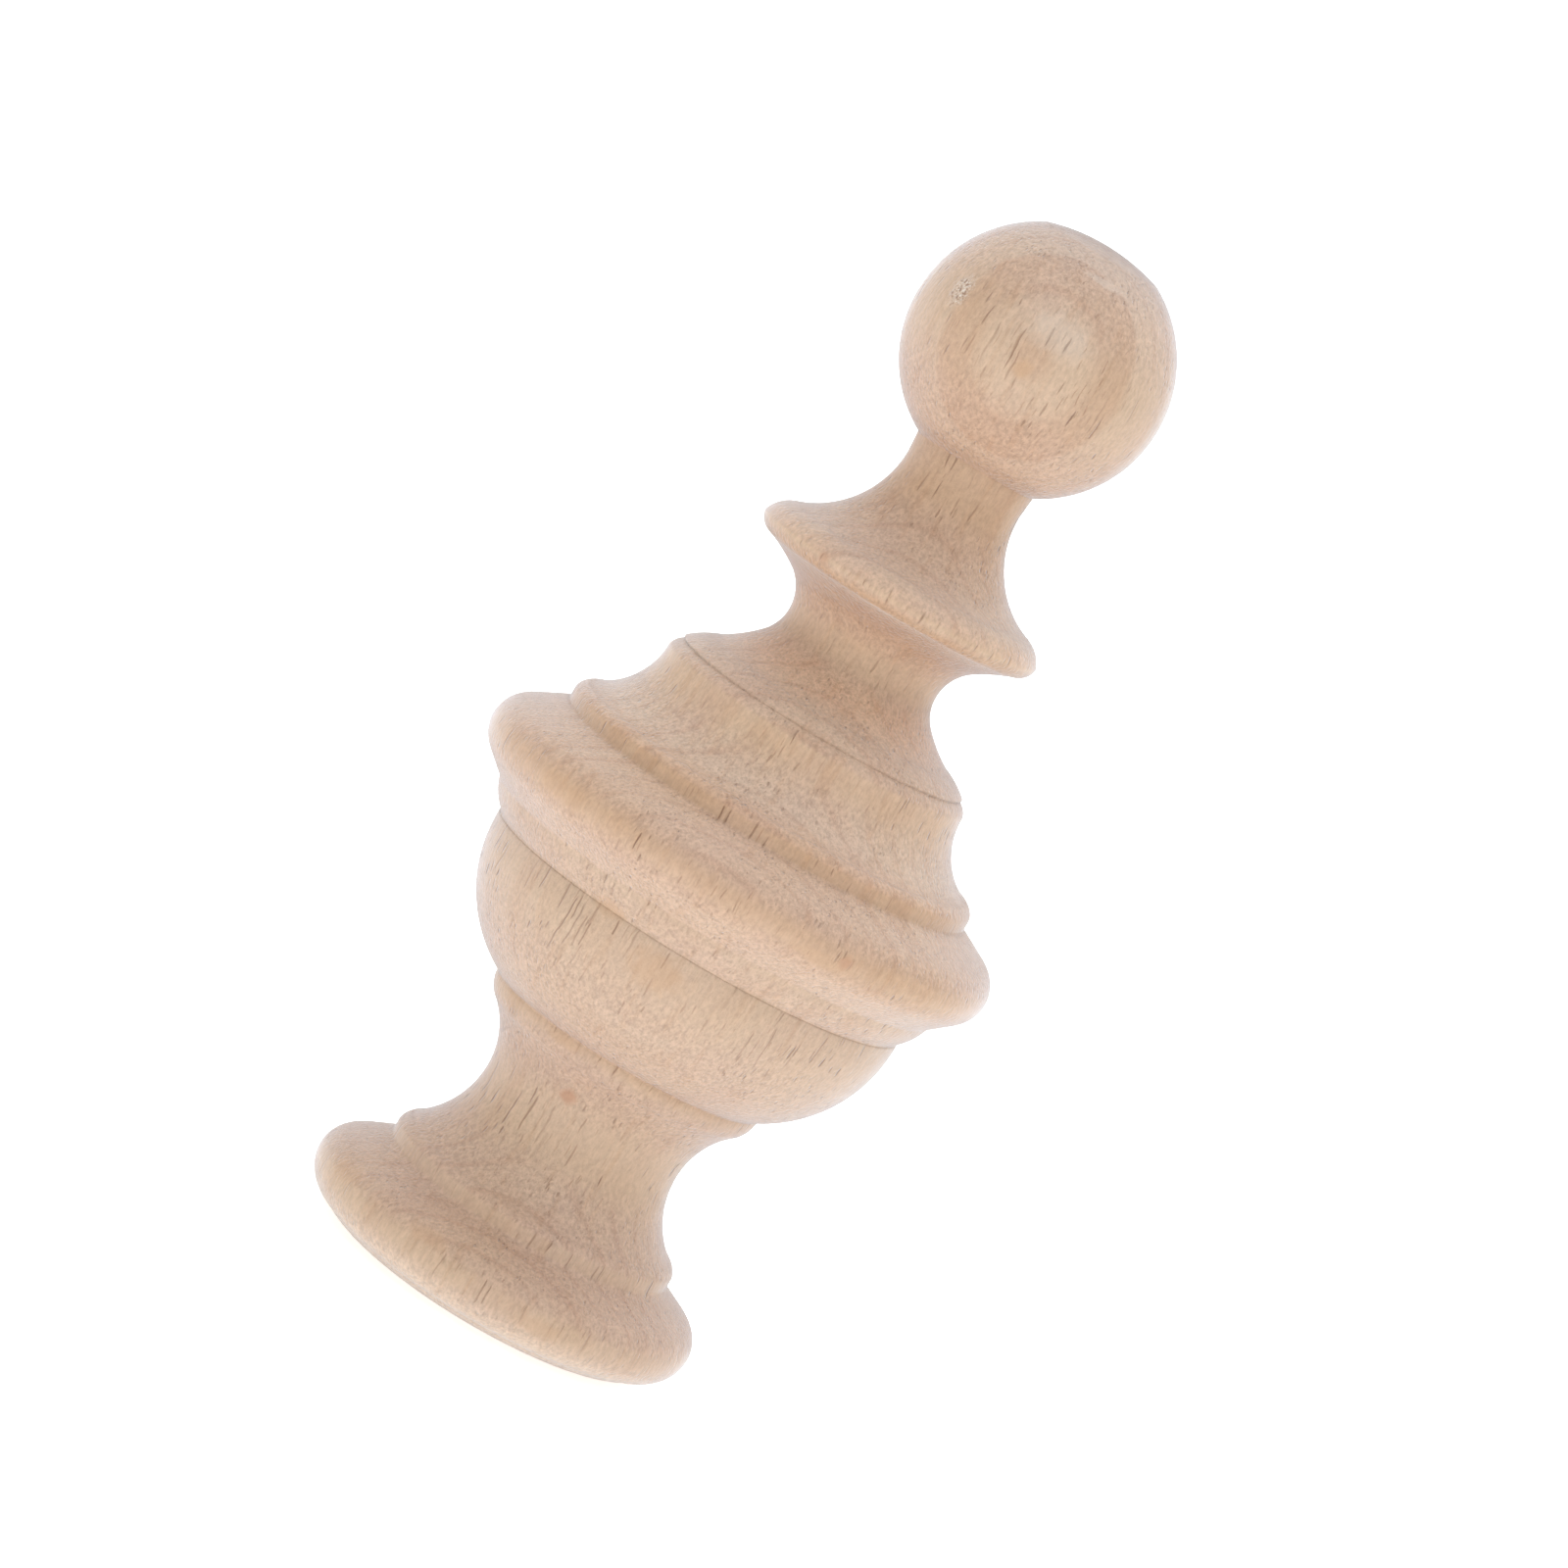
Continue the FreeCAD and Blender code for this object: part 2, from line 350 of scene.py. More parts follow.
def between(value, low, high, new_low=0.0, new_high=1.0, soft=True):
    """Carries a value from one span over to another, and holds it there past the ends."""
    made = add(grain, "ShaderNodeMapRange", {
        "Value": value, "From Min": low, "From Max": high, "To Min": new_low, "To Max": new_high,
    }, interpolation_type="SMOOTHSTEP" if soft else "LINEAR")
    return made.outputs["Result"]


def blend(amount, first, second, kind="MIX"):
    made = add(
        grain, "ShaderNodeMix", {0: amount, 6: first, 7: second}, data_type="RGBA", blend_type=kind
    )
    return made.outputs[2]


def placed(source, scale=(1, 1, 1), turn=(0, 0, 0), move=(0, 0, 0)):
    """Scales, turns and moves the places that a pattern is read at."""
    made = add(grain, "ShaderNodeMapping", {
        "Vector": source, "Location": move, "Rotation": turn, "Scale": scale,
    })
    return made.outputs["Vector"]


def noise(source, scale, detail=2.0, roughness=0.5):
    made = add(grain, "ShaderNodeTexNoise", {
        "Vector": source, "Scale": scale, "Detail": detail, "Roughness": roughness,
    })
    return made.outputs["Fac"]


def shades(value, low, high, stops):
    """Turns a value into a grey, by stops that each give a value and the grey there."""
    made = add(grain, "ShaderNodeValToRGB", {"Fac": between(value, low, high, soft=False)})
    greys = made.color_ramp.elements
    for i, (level, tone) in enumerate(stops):
        place = (level - low) / (high - low)
        stop = greys[i] if i < 2 else greys.new(place)
        stop.position = place
        stop.color = (tone, tone, tone, 1)
    return made.outputs["Color"]


# places in the block of wood that the finial is turned from, in millimetres
where = add(grain, "ShaderNodeTexCoord").outputs
stock = placed(where["Object"], scale=(1 / MM, 1 / MM, 1 / MM))
along = add(grain, "ShaderNodeSeparateXYZ", {0: stock}).outputs
height = along["Z"]
facing_up = add(grain, "ShaderNodeSeparateXYZ", {0: where["Normal"]}).outputs["Z"]


def swing(scale, detail, reach):
    """A noise through the wood that swings evenly to either side of nought."""
    return maths("MULTIPLY", maths("SUBTRACT", noise(stock, scale, detail), 0.5), reach)


# growth layers: wide shells round the tree's heart, which lies in front of the piece
HEART_DISTANCE = 62.0
HEART_TURN = (math.radians(3), 0, math.radians(1.5))
from_heart = placed(stock, turn=HEART_TURN, move=(0, HEART_DISTANCE, 0))
from_heart = add(
    grain, "ShaderNodeVectorMath", {0: from_heart, 1: (1, 1, 0)}, operation="MULTIPLY"
).outputs[0]
heart_depth = add(
    grain, "ShaderNodeVectorMath", {0: from_heart}, operation="LENGTH"
).outputs["Value"]
wander = swing(0.035, 2, between(height, 60, 84, 7.0, 0.0))
layer = maths("ADD", maths("ADD", heart_depth, wander), swing(0.3, 2, 0.28))

# each layer's depth from the heart, in millimetres, and how dark it is
LAYERS = [
    (28.0, 0.50), (32.0, 0.20), (34.0, 0.90), (35.2, 0.25), (37.5, 0.80), (38.6, 0.20),
    (41.0, 0.75), (42.0, 0.20), (43.8, 0.55), (45.02, 0.85), (45.10, 0.75), (45.18, 0.12),
    (45.85, 0.05), (46.60, 0.65), (48.0, 0.90), (48.6, 0.80), (49.2, 0.10), (52.5, 0.30),
    (54.0, 0.80), (55.0, 0.20), (58.5, 0.70), (59.5, 0.15), (63.0, 0.75), (64.2, 0.20),
    (67.5, 0.80), (68.6, 0.20), (73.0, 0.70), (74.0, 0.20), (79.0, 0.75), (84.0, 0.30),
]
figure = shades(layer, LAYERS[0][0], LAYERS[-1][0], LAYERS)

PALE = (0.562, 0.428, 0.312, 1)
TAN = (0.480, 0.322, 0.214, 1)
PINKISH = (0.515, 0.370, 0.284, 1)
# how much darker and how much browner the piece is at each height. Both are matched to the
# photograph, so they hold some of its light as well as the wood's own tone
WOOD_LENGTH = 107
DARKER = [(0, 0.0), (3, 0.1), (8, 0.6), (12, 0.3), (22, 0.4), (30, 0.2), (36, 0.5),
          (41, 0.25), (45, 0.7), (49, 0.4), (50.2, 0.65), (51.3, 0.5), (52.6, 0.05),
          (57, 0.35), (60, 0.05), (63.5, 0.0), (66.5, 0.45), (69.4, 0.95), (71.3, 0.4),
          (72.7, 0.0), (75, 0.3), (79, 0.75), (84, 0.85), (87, 0.9), (97, 0.5), (103, 0.3)]
BROWNER = [(0, 0.0), (3, 0.2), (10, 0.15), (16, 0.15), (24.5, 0.1), (25.4, 0.5), (27, 0.0),
           (42, 0.0), (45, 0.55), (48, 0.1), (50.5, 0.8), (52.3, 0.0), (57, 0.45), (60.5, 0.15),
           (63, 0.6), (67, 0.65), (70.5, 0.5), (73.5, 0.1), (78, 0.4), (84, 0.45), (87, 0.1)]
darker = shades(height, 0, WOOD_LENGTH, DARKER)
browner = shades(height, 0, WOOD_LENGTH, BROWNER)

# how clearly the layers show: most on the ball, and faded in places below it
clear_figure = between(height, 74, 88, 0.45, 0.78)
faded = between(noise(stock, 0.11, 2), 0.40, 0.60, 0.15, 1.0)
clear_figure = maths("MULTIPLY", clear_figure, maths("MAXIMUM", faded, between(height, 80, 88)))
tan_share = maths("ADD", maths("MULTIPLY", figure, clear_figure), maths(
    "MULTIPLY", maths("SUBTRACT", 1.0, clear_figure), 0.45
))
tan_share = maths("ADD", tan_share, maths(
    "MULTIPLY", maths("SUBTRACT", darker, 0.35), 0.8
), clamp=True)
colour = blend(tan_share, PALE, TAN)
drift = between(noise(stock, 0.09, 3), 0.38, 0.66)
colour = blend(maths("MULTIPLY", drift, 0.45), colour, PINKISH)

WARM = (1.0, 0.90, 0.78, 1)
colour = blend(browner, colour, WARM, "MULTIPLY")

# end grain drinks in more light, so it is a little darker and pinker than the sides
END_GRAIN = (0.96, 0.95, 0.99, 1)
end_grain = between(maths("ABSOLUTE", facing_up), 0.12, 0.55)
colour = blend(end_grain, colour, END_GRAIN, "MULTIPLY")

# matched to the photograph in the same way, these are painted light and shade: painted shade
# makes the crown, the creases and the underside of the disc darker, and the underside browner too,
# and painted light makes the rim of the seat and some proud edges paler
CROWN_PAINTED_SHADE = (0.83, 0.86, 0.94, 1)
# painted shade on the crown of the ball
colour = blend(between(height, 101.5, 107.0), colour, CROWN_PAINTED_SHADE, "MULTIPLY")
# painted light: the underside of the foot is paler towards the seat
SEAT_PAINTED_LIGHT = (0.72, 0.60, 0.49, 1)
colour = blend(between(height, 4.0, 0.6, 0.0, 0.75), colour, SEAT_PAINTED_LIGHT)
# painted shade for the creases
CREASE_PAINTED_SHADE = (0.90, 0.87, 0.84, 1)
# painted light for proud edges
EDGE_PAINTED_LIGHT = (1.12, 1.08, 1.04, 1)
# painted shade, browner, for the underside of the disc
UNDERSIDE_PAINTED_SHADE = (0.91, 0.86, 0.77, 1)
for level, reach, amount, tone in (
    # painted shade in the creases under the ball, under the disc, at the foot of the band and above
    # the ring
    (85.3, 1.2, 0.9, CREASE_PAINTED_SHADE), (69.4, 1.6, 0.85, CREASE_PAINTED_SHADE),
    (49.5, 0.5, 0.5, CREASE_PAINTED_SHADE), (25.8, 0.6, 0.6, CREASE_PAINTED_SHADE),
    # painted light on the edge of the disc and on the slope of the neck
    (72.7, 1.0, 0.5, EDGE_PAINTED_LIGHT), (62.3, 2.4, 1.0, EDGE_PAINTED_LIGHT),
    # painted shade, browner, on the underside of the disc at its edge
    (70.7, 1.3, 1.0, UNDERSIDE_PAINTED_SHADE),
):
    off = maths("DIVIDE", maths("ABSOLUTE", maths("SUBTRACT", height, level)), reach)
    colour = blend(between(off, 0.1, 1.0, amount, 0.0), colour, tone, "MULTIPLY")

# latewood: a thin darker line at the end of each year's growth, seen where the surface slopes
YEAR = 2.27
YEAR_START = 46.73 - YEAR / 2
years = maths("SUBTRACT", maths("ADD", heart_depth, swing(0.3, 3, 0.5)), YEAR_START)
years = maths("FRACT", maths("DIVIDE", years, YEAR))
late = between(maths("ABSOLUTE", maths("SUBTRACT", years, 0.46)), 0.02, 0.16, 1.0, 0.0)
sloping = maths("MAXIMUM", between(facing_up, 0.20, 0.60, 0.0, 0.85),
                between(facing_up, -0.20, -0.60, 0.0, 0.25))
LATEWOOD = (0.92, 0.88, 0.86, 1)
colour = blend(maths("MULTIPLY", late, sloping), colour, LATEWOOD, "MULTIPLY")

# brown streaks along the grain, a little darker than the wood round them
streaks = between(noise(placed(stock, scale=(1.1, 0.45, 0.06)), 1.0, 3, 0.6), 0.52, 0.70)
STREAK = (0.90, 0.84, 0.78, 1)
colour = blend(maths("MULTIPLY", streaks, 0.6), colour, STREAK, "MULTIPLY")

# fibres: fine streaks along the grain, and a finer grit that sanding leaves, coarser on end grain
fibres = noise(placed(stock, scale=(4.2, 4.2, 0.32)), 1.0, 3, 0.6)
grit = noise(placed(stock, scale=(1, 1, 0.6)), 3.1, 2, 0.7)
coarse = maths("ADD", 1.0, maths("MULTIPLY", end_grain, 0.8))
tint = maths("ADD", between(fibres, 0.3, 0.7, 0.93, 1.06, soft=False), maths(
    "MULTIPLY", between(grit, 0.34, 0.66, -0.085, 0.085, soft=False), coarse
))
tint = add(grain, "ShaderNodeCombineColor", {0: tint, 1: tint, 2: tint}).outputs[0]
colour = blend(1.0, colour, tint, "MULTIPLY")

# the vessels sway a little from the straight line
sway = add(grain, "ShaderNodeTexNoise", {"Vector": stock, "Scale": 0.45, "Detail": 1.0})
sway = add(
    grain, "ShaderNodeVectorMath", {0: sway.outputs["Color"], 1: (0.5, 0.5, 0.5)},
    operation="SUBTRACT",
)
sway = add(
    grain, "ShaderNodeVectorMath", {0: sway.outputs[0], 1: (0.5, 0.5, 0.0)},
    operation="MULTIPLY",
)
swaying = add(
    grain, "ShaderNodeVectorMath", {0: stock, 1: sway.outputs[0]}, operation="ADD"
).outputs[0]


def vessels(width, depth, length, seed, radius, share):
    """Long thin tubes along the grain, in short rows towards the heart: 1 inside, 0 outside."""
    source = placed(
        swaying, scale=(1 / width, 1 / depth, 1 / length), move=(seed, seed * 2, seed * 3)
    )
    tubes = add(grain, "ShaderNodeTexVoronoi", {"Vector": source, "Scale": 1.0}, feature="F1")
    chance = add(grain, "ShaderNodeSeparateColor", {0: tubes.outputs["Color"]})
    inside = between(tubes.outputs["Distance"], radius * 0.55, radius, 1.0, 0.0)
    kept = between(chance.outputs[0], 1 - share, 1 - share + 0.05)
    strength = between(chance.outputs[1], 0, 1, 0.45, 1.0, soft=False)
    return maths("MULTIPLY", maths("MULTIPLY", inside, kept), strength)


patches = between(noise(placed(stock, scale=(0.22, 0.22, 0.07)), 1.0, 2), 0.36, 0.60, 0.25, 1.0)
large_vessels = maths("MULTIPLY", vessels(0.42, 0.80, 13.0, 3.7, 0.26, 0.95), patches)
small_vessels = maths("MULTIPLY", vessels(0.30, 0.55, 7.0, 8.1, 0.22, 0.9), patches)

# vessels that the gouge laid open for a long way under the rim of the bowl, and a few on the lip
sideways = add(grain, "ShaderNodeSeparateXYZ", {0: swaying}).outputs
in_front = between(sideways["Y"], -4.0, -5.0)
for across_mm, low, high, strength in (
    (-10.05, 31.6, 37.7, 0.9), (-9.65, 35.2, 37.7, 0.8), (-9.15, 32.6, 37.4, 0.6),
    (-8.5, 33.2, 36.6, 0.6), (-7.95, 33.6, 36.2, 0.7), (-7.7, 31.4, 34.2, 0.5),
    (-5.95, 36.2, 37.7, 0.9), (-6.3, 30.9, 32.6, 0.6), (-0.9, 35.9, 37.7, 0.7),
    (8.6, 32.0, 35.4, 0.5), (9.3, 32.4, 35.0, 0.4), (10.15, 32.0, 36.6, 0.6),
    (-7.85, 39.0, 40.3, 0.8), (-4.85, 38.7, 39.7, 0.8), (-17.6, 34.0, 37.0, 0.5),
    (14.2, 34.6, 37.6, 0.6),
):
    beside = maths("ABSOLUTE", maths("SUBTRACT", sideways["X"], across_mm))
    open_here = maths("MULTIPLY", between(beside, 0.02, 0.09, strength * 0.8, 0.0), in_front)
    middle, half = (low + high) / 2, (high - low) / 2
    beyond = maths("ABSOLUTE", maths("SUBTRACT", height, middle))
    open_here = maths("MULTIPLY", open_here, between(beyond, half, half * 0.7))
    large_vessels = maths("MAXIMUM", large_vessels, open_here)

# vessels look darkest where they are cut along, and fade on end grain and near the seat
VESSEL = (0.190, 0.090, 0.045, 1)
SMALL_VESSEL = (0.345, 0.195, 0.110, 1)
open_share = maths("SUBTRACT", 1.0, maths("MULTIPLY", end_grain, 0.6))
open_share = maths("MULTIPLY", open_share, between(height, 4.0, 5.5, 0.5, 1.0))
small_share = maths("MULTIPLY", maths("MULTIPLY", small_vessels, open_share), 0.60)
large_share = maths("MULTIPLY", maths("MULTIPLY", large_vessels, open_share), 0.84)
colour = blend(small_share, colour, SMALL_VESSEL)
colour = blend(large_share, colour, VESSEL)


def spot(place, size):
    """A soft-edged, uneven spot of the wood, place and size in millimetres: 1 inside, 0 outside."""
    apart = add(
        grain, "ShaderNodeVectorMath", {0: stock, 1: place}, operation="SUBTRACT"
    ).outputs[0]
    apart = add(
        grain, "ShaderNodeVectorMath", {0: apart, 1: size}, operation="DIVIDE"
    ).outputs[0]
    apart = add(grain, "ShaderNodeVectorMath", {0: apart}, operation="LENGTH").outputs["Value"]
    apart = maths("ADD", apart, swing(1.1, 2, 0.8))
    return between(apart, 0.35, 1.0, 1.0, 0.0)


# a pin knot on the stem, where a twig began, stains in the wood, and scrapes on top of the ball
KNOT = (0.440, 0.235, 0.140, 1)
ORANGE = (0.505, 0.320, 0.190, 1)
PALE_FIBRE = (0.68, 0.62, 0.56, 1)
for place, size, amount, tone in (
    ((-2.07, -10.0, 20.7), (1.1, 1.3, 1.1), 0.65, KNOT),
    ((-1.2, -20.1, 35.6), (3.6, 3.0, 2.2), 0.5, ORANGE),
    ((-7.2, -18.8, 38.0), (2.2, 2.0, 1.0), 0.5, ORANGE),
    ((-4.9, -12.2, 25.0), (2.6, 2.0, 0.7), 0.4, ORANGE),
    ((-6.0, -17.2, 5.4), (3.0, 2.5, 1.0), 0.4, ORANGE),
    ((6.0, -17.8, 3.6), (3.0, 2.5, 1.2), 0.35, ORANGE),
    ((-15.0, -11.0, 5.2), (3.0, 3.0, 1.2), 0.35, ORANGE),
    ((-16.0, -19.2, 44.6), (4.5, 3.5, 1.3), 0.4, ORANGE),
    ((10.5, -22.7, 44.0), (4.0, 3.0, 1.0), 0.4, ORANGE),
    ((12.2, -21.8, 44.7), (0.9, 1.0, 0.9), 0.6, KNOT),
    ((-7.0, -11.8, 72.1), (0.8, 1.0, 0.8), 0.5, KNOT),
    ((-0.78, -12.0, 94.4), (1.1, 1.5, 1.2), 0.65, ORANGE),
    ((0.5, -11.5, 98.3), (3.8, 2.5, 2.4), 0.20, PALE_FIBRE),
    ((1.7, -8.0, 104.0), (2.6, 2.0, 0.45), 0.25, PALE_FIBRE),
):
    colour = blend(maths("MULTIPLY", spot(place, size), amount), colour, tone)

# raised grain on the side of the ball, where the fibres were lifted
raised = spot((-8.7, -8.2, 97.4), (1.5, 1.5, 2.0))
colour = blend(maths("MULTIPLY", raised, 0.15), colour, PALE_FIBRE)
lifted = noise(stock, 3.6, 2, 0.6)
colour = blend(maths("MULTIPLY", raised, between(lifted, 0.54, 0.64, 0.0, 0.8)), colour, VESSEL)
colour = blend(
    maths("MULTIPLY", raised, between(lifted, 0.44, 0.36, 0.0, 0.8)), colour, PALE_FIBRE
)

# relief: open vessels, fibres, the rings that the gouge and the sandpaper leave round the piece
radius_mm = maths("SQRT", maths(
    "ADD", maths("MULTIPLY", along["X"], along["X"]), maths("MULTIPLY", along["Y"], along["Y"])
))
round_axis = add(grain, "ShaderNodeCombineXYZ", {0: radius_mm, 1: 0.0, 2: height}).outputs[0]
lathe_rings = noise(round_axis, 2.6, 3, 0.7)
relief = maths("MULTIPLY", large_vessels, -1.5)
for pattern, share in (
    (small_vessels, -0.7), (fibres, 0.5), (maths("MULTIPLY", grit, coarse), 1.3),
    (lathe_rings, 0.30), (maths("MULTIPLY", raised, lifted), 3.0),
):
    relief = maths("ADD", relief, maths("MULTIPLY", pattern, share))
bump = add(
    grain, "ShaderNodeBump", {"Height": relief, "Strength": 0.7, "Distance": 0.08 * MM}
).outputs[0]

# the cool sheen is not the wood's own: it gives the pale rims that the photograph shows
roughness = between(fibres, 0.3, 0.7, 0.46, 0.60, soft=False)
roughness = maths("ADD", roughness, maths("MULTIPLY", end_grain, 0.08))
surface = add(grain, "ShaderNodeBsdfPrincipled", {
    "Base Color": colour, "Roughness": roughness, "Normal": bump,
    "Specular IOR Level": 0.5, "Sheen Weight": 0.9, "Sheen Roughness": 0.30,
    "Sheen Tint": (0.80, 0.88, 1.0, 1),
})
add(grain, "ShaderNodeOutputMaterial", {"Surface": surface.outputs[0]})

# the lathe: turns the profile round the axis, closes it, and leaves it a little uneven, as sanding
# by hand does
lathe = bpy.data.node_groups.new("lathe", "GeometryNodeTree")
lathe.is_modifier = True
for name, kind, default in (
    ("Profile", "NodeSocketGeometry", None),
    ("Facets Round", "NodeSocketInt", 180),
    ("Join Distance", "NodeSocketFloat", 0.0005 * MM),
    ("Sanding Depth", "NodeSocketFloat", 0.04 * MM),
    ("Sanding Size", "NodeSocketFloat", 9 * MM),
    ("Wood", "NodeSocketMaterial", None),
):
    socket = lathe.interface.new_socket(name, in_out="INPUT", socket_type=kind)
    if default is not None:
        socket.default_value = default
lathe.interface.new_socket("Turned Piece", in_out="OUTPUT", socket_type="NodeSocketGeometry")

given = add(lathe, "NodeGroupInput").outputs
rows = add(lathe, "GeometryNodeAttributeDomainSize", {0: given["Profile"]}, component="MESH")
rows = rows.outputs["Point Count"]
columns = add(
    lathe, "FunctionNodeIntegerMath", {0: given["Facets Round"], 1: 1}, operation="ADD"
).outputs[0]
sheet = add(lathe, "GeometryNodeMeshGrid", {"Vertices X": columns, "Vertices Y": rows})
index = add(lathe, "GeometryNodeInputIndex").outputs[0]
column = add(
    lathe, "FunctionNodeIntegerMath", {0: index, 1: rows}, operation="DIVIDE_FLOOR"
).outputs[0]
row = add(lathe, "FunctionNodeIntegerMath", {0: index, 1: rows}, operation="MODULO").outputs[0]
position = add(lathe, "GeometryNodeInputPosition").outputs[0]
sample = add(lathe, "GeometryNodeSampleIndex", {
    "Geometry": given["Profile"], "Value": position, "Index": row,
}, data_type="FLOAT_VECTOR", domain="POINT")
outline = add(lathe, "ShaderNodeSeparateXYZ", {0: sample.outputs[0]}).outputs
# each column of the sheet is the profile again, turned a facet further round
turn = maths("DIVIDE", column, given["Facets Round"], tree=lathe)
turn = maths("MULTIPLY", turn, 2 * math.pi, tree=lathe)
turned = add(lathe, "ShaderNodeCombineXYZ", {
    0: maths("MULTIPLY", outline["X"], maths("COSINE", turn, tree=lathe), tree=lathe),
    1: maths("MULTIPLY", outline["X"], maths("SINE", turn, tree=lathe), tree=lathe),
    2: outline["Z"],
}).outputs[0]
shape = add(
    lathe, "GeometryNodeSetPosition", {"Geometry": sheet.outputs["Mesh"], "Position": turned}
)
shape = add(lathe, "GeometryNodeMergeByDistance", {
    "Geometry": shape.outputs[0], "Distance": given["Join Distance"],
})

# sanding takes the surface back by an uneven depth, except at the seat, which stays flat
spread = add(lathe, "ShaderNodeVectorMath", {
    0: position, "Scale": maths("DIVIDE", 1.0, given["Sanding Size"], tree=lathe),
}, operation="SCALE")
uneven = add(lathe, "ShaderNodeTexNoise", {
    "Vector": spread.outputs[0], "Scale": 1.0, "Detail": 3.0, "Roughness": 0.6,
}).outputs["Fac"]
rise = add(lathe, "ShaderNodeSeparateXYZ", {0: position}).outputs["Z"]
off_seat = add(lathe, "ShaderNodeMapRange", {
    "Value": rise, "From Min": 0.4 * MM, "From Max": 3 * MM,
}, interpolation_type="SMOOTHSTEP").outputs["Result"]
inward = maths("MULTIPLY", uneven, given["Sanding Depth"], tree=lathe)
inward = maths("MULTIPLY", inward, off_seat, tree=lathe)
inward = maths("MULTIPLY", inward, -1.0, tree=lathe)
normal = add(lathe, "GeometryNodeInputNormal").outputs[0]
sanded = add(
    lathe, "ShaderNodeVectorMath", {0: normal, "Scale": inward}, operation="SCALE"
)
shape = add(lathe, "GeometryNodeSetPosition", {
    "Geometry": shape.outputs[0], "Offset": sanded.outputs[0],
})
shape = add(lathe, "GeometryNodeSetShadeSmooth", {"Geometry": shape.outputs[0]})
shape = add(lathe, "GeometryNodeRealizeInstances", {"Geometry": shape.outputs[0]})
shape = add(lathe, "GeometryNodeSetMaterial", {
    "Geometry": shape.outputs[0], "Material": given["Wood"],
})
add(lathe, "NodeGroupOutput", {0: shape.outputs[0]})

turning = finial.modifiers.new("turning", "NODES")
turning.node_group = lathe
for socket in lathe.interface.items_tree:
    if socket.name == "Wood":
        turning[socket.identifier] = wood

shaped = bpy.data.meshes.new_from_object(
    finial.evaluated_get(bpy.context.evaluated_depsgraph_get())
)
finial.modifiers.clear()
finial.data = shaped
shaped.name = "turned_wood"

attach(finial, "root")
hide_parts("turned_finial")

# The stand is a white light table that sweeps up behind the finial. The light is soft and comes
# from above, from behind and back up from the table. Its strengths are matched to the photograph.
table_paint = bpy.data.materials.new("light_table_white")
table_paint.use_nodes = True
white = table_paint.node_tree.nodes["Principled BSDF"]
white.inputs["Base Color"].default_value = (0.86, 0.86, 0.86, 1)
white.inputs["Roughness"].default_value = 0.9
white.inputs["Specular IOR Level"].default_value = 0.1
white.inputs["Emission Color"].default_value = (1, 1, 1, 1)
white.inputs["Emission Strength"].default_value = 0.60

TABLE_HALF_WIDTH = 2.5
TABLE_FRONT = -2.5
TABLE_LEVEL = -0.0002  # just under the seat
SWEEP_START = 1.2
SWEEP_RADIUS = 0.6
SWEEP_STEPS = 16
SWEEP_TOP = 2.5
section = [(TABLE_FRONT, TABLE_LEVEL), (SWEEP_START, TABLE_LEVEL)]
for i in range(1, SWEEP_STEPS + 1):
    angle = math.radians(90) * i / SWEEP_STEPS
    section.append((
        SWEEP_START + SWEEP_RADIUS * math.sin(angle),
        TABLE_LEVEL + SWEEP_RADIUS * (1 - math.cos(angle)),
    ))
section.append((SWEEP_START + SWEEP_RADIUS, SWEEP_TOP))
sweep_points = [(x, y, z) for y, z in section for x in (-TABLE_HALF_WIDTH, TABLE_HALF_WIDTH)]
sweep_faces = [(2 * i, 2 * i + 1, 2 * i + 3, 2 * i + 2) for i in range(len(section) - 1)]
sweep = bpy.data.meshes.new("light_table")
sweep.from_pydata(sweep_points, [], sweep_faces)
for face in sweep.polygons:
    face.use_smooth = True
sweep.materials.append(table_paint)
table = bpy.data.objects.new("light_table", sweep)
bpy.context.scene.collection.objects.link(table)

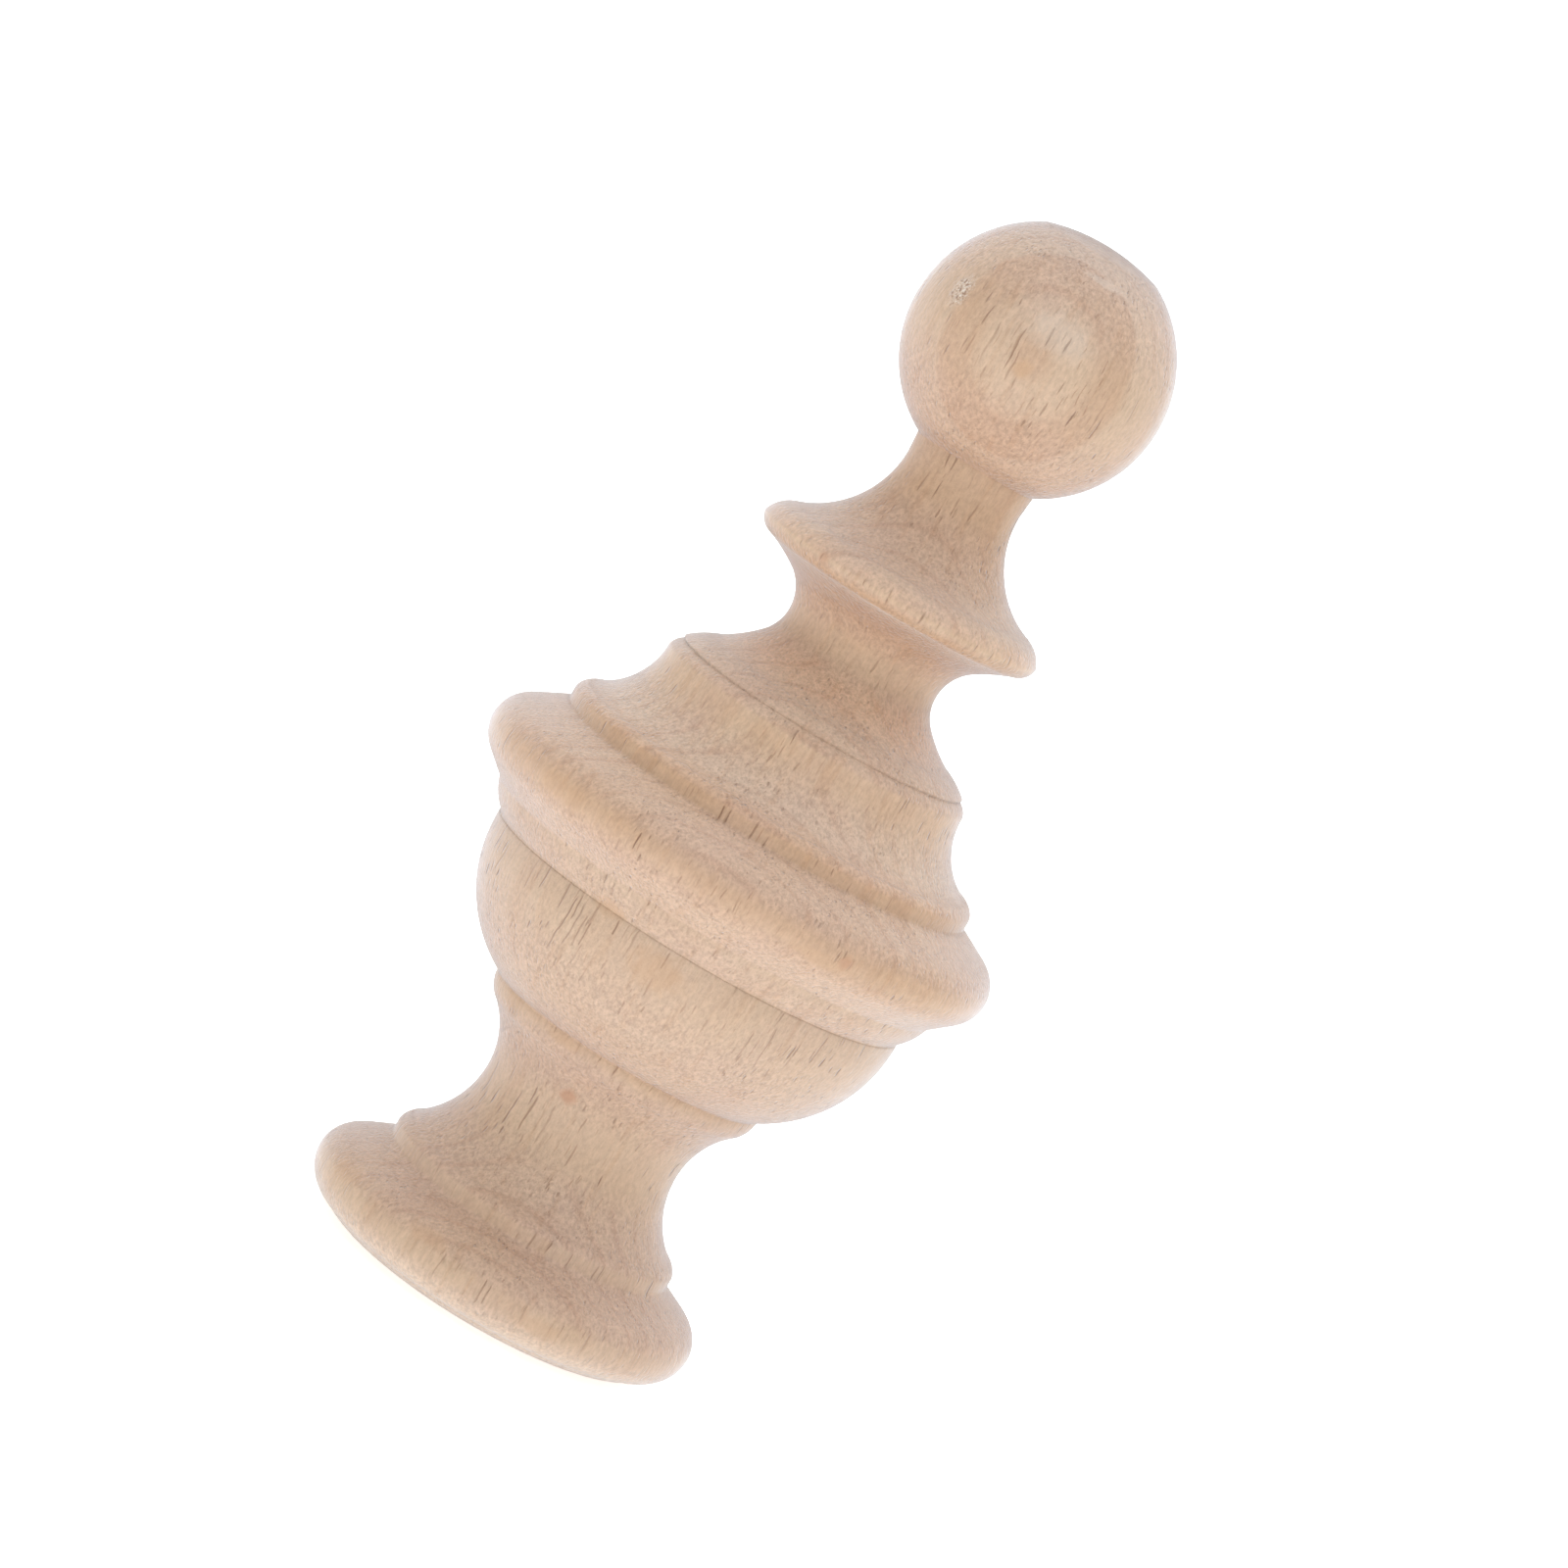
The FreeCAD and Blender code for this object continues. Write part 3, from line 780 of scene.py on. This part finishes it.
# a negative strength takes light away from its side, as a dark card would
FRONT_LIGHT, BACK_LIGHT, LEFT_LIGHT, RIGHT_LIGHT, TOP_LIGHT = 0.30, 1.52, -0.72, -0.34, 1.63
studio = bpy.data.worlds.new("studio")
studio.use_nodes = True
sky = studio.node_tree
air = sky.nodes["Background"]
direction = add(sky, "ShaderNodeTexCoord").outputs["Generated"]
toward = add(sky, "ShaderNodeSeparateXYZ", {0: direction}).outputs
glow = 0.0
for axis, start, full, strength in (
    ("Y", 0.2, -0.6, FRONT_LIGHT), ("Y", -0.2, 0.6, BACK_LIGHT), ("X", -0.3, -0.9, LEFT_LIGHT),
    ("X", 0.3, 0.9, RIGHT_LIGHT), ("Z", 0.2, 0.9, TOP_LIGHT),
):
    lit = add(sky, "ShaderNodeMapRange", {
        "Value": toward[axis], "From Min": start, "From Max": full, "To Max": strength,
    }, interpolation_type="SMOOTHSTEP").outputs["Result"]
    glow = maths("ADD", glow, lit, tree=sky)
glow = maths("MAXIMUM", glow, 0.0, tree=sky)
# what the lens sees past the table is the same white as the table
lens_ray = add(sky, "ShaderNodeLightPath").outputs["Is Camera Ray"]
glow = add(sky, "ShaderNodeMix", {0: lens_ray, 2: glow, 3: 1.0}).outputs[0]
sky.links.new(glow, air.inputs["Strength"])
air.inputs["Color"].default_value = (1, 1, 1, 1)
bpy.context.scene.world = studio


# The camera stands half a metre in front and looks down a little. It is rolled, so that the
# finial leans to the right.
CAMERA_PLACE = Vector((0, -0.4938, 0.1132))
CAMERA_AIM = Vector((0, 0, 0.0523))
CAMERA_ROLL = math.radians(30.95)
LENS = 131.0

eye = bpy.data.cameras.new("camera")
eye.sensor_width = 36.0
eye.lens = LENS
eye.clip_start, eye.clip_end = 0.01, 20.0
camera = bpy.data.objects.new("camera", eye)
looking = (CAMERA_AIM - CAMERA_PLACE).to_track_quat("-Z", "Y").to_matrix().to_4x4()
camera.matrix_world = (
    Matrix.Translation(CAMERA_PLACE) @ looking @ Matrix.Rotation(CAMERA_ROLL, 4, "Z")
)
bpy.context.scene.collection.objects.link(camera)
bpy.context.scene.camera = camera
bpy.context.scene.view_settings.view_transform = "Standard"
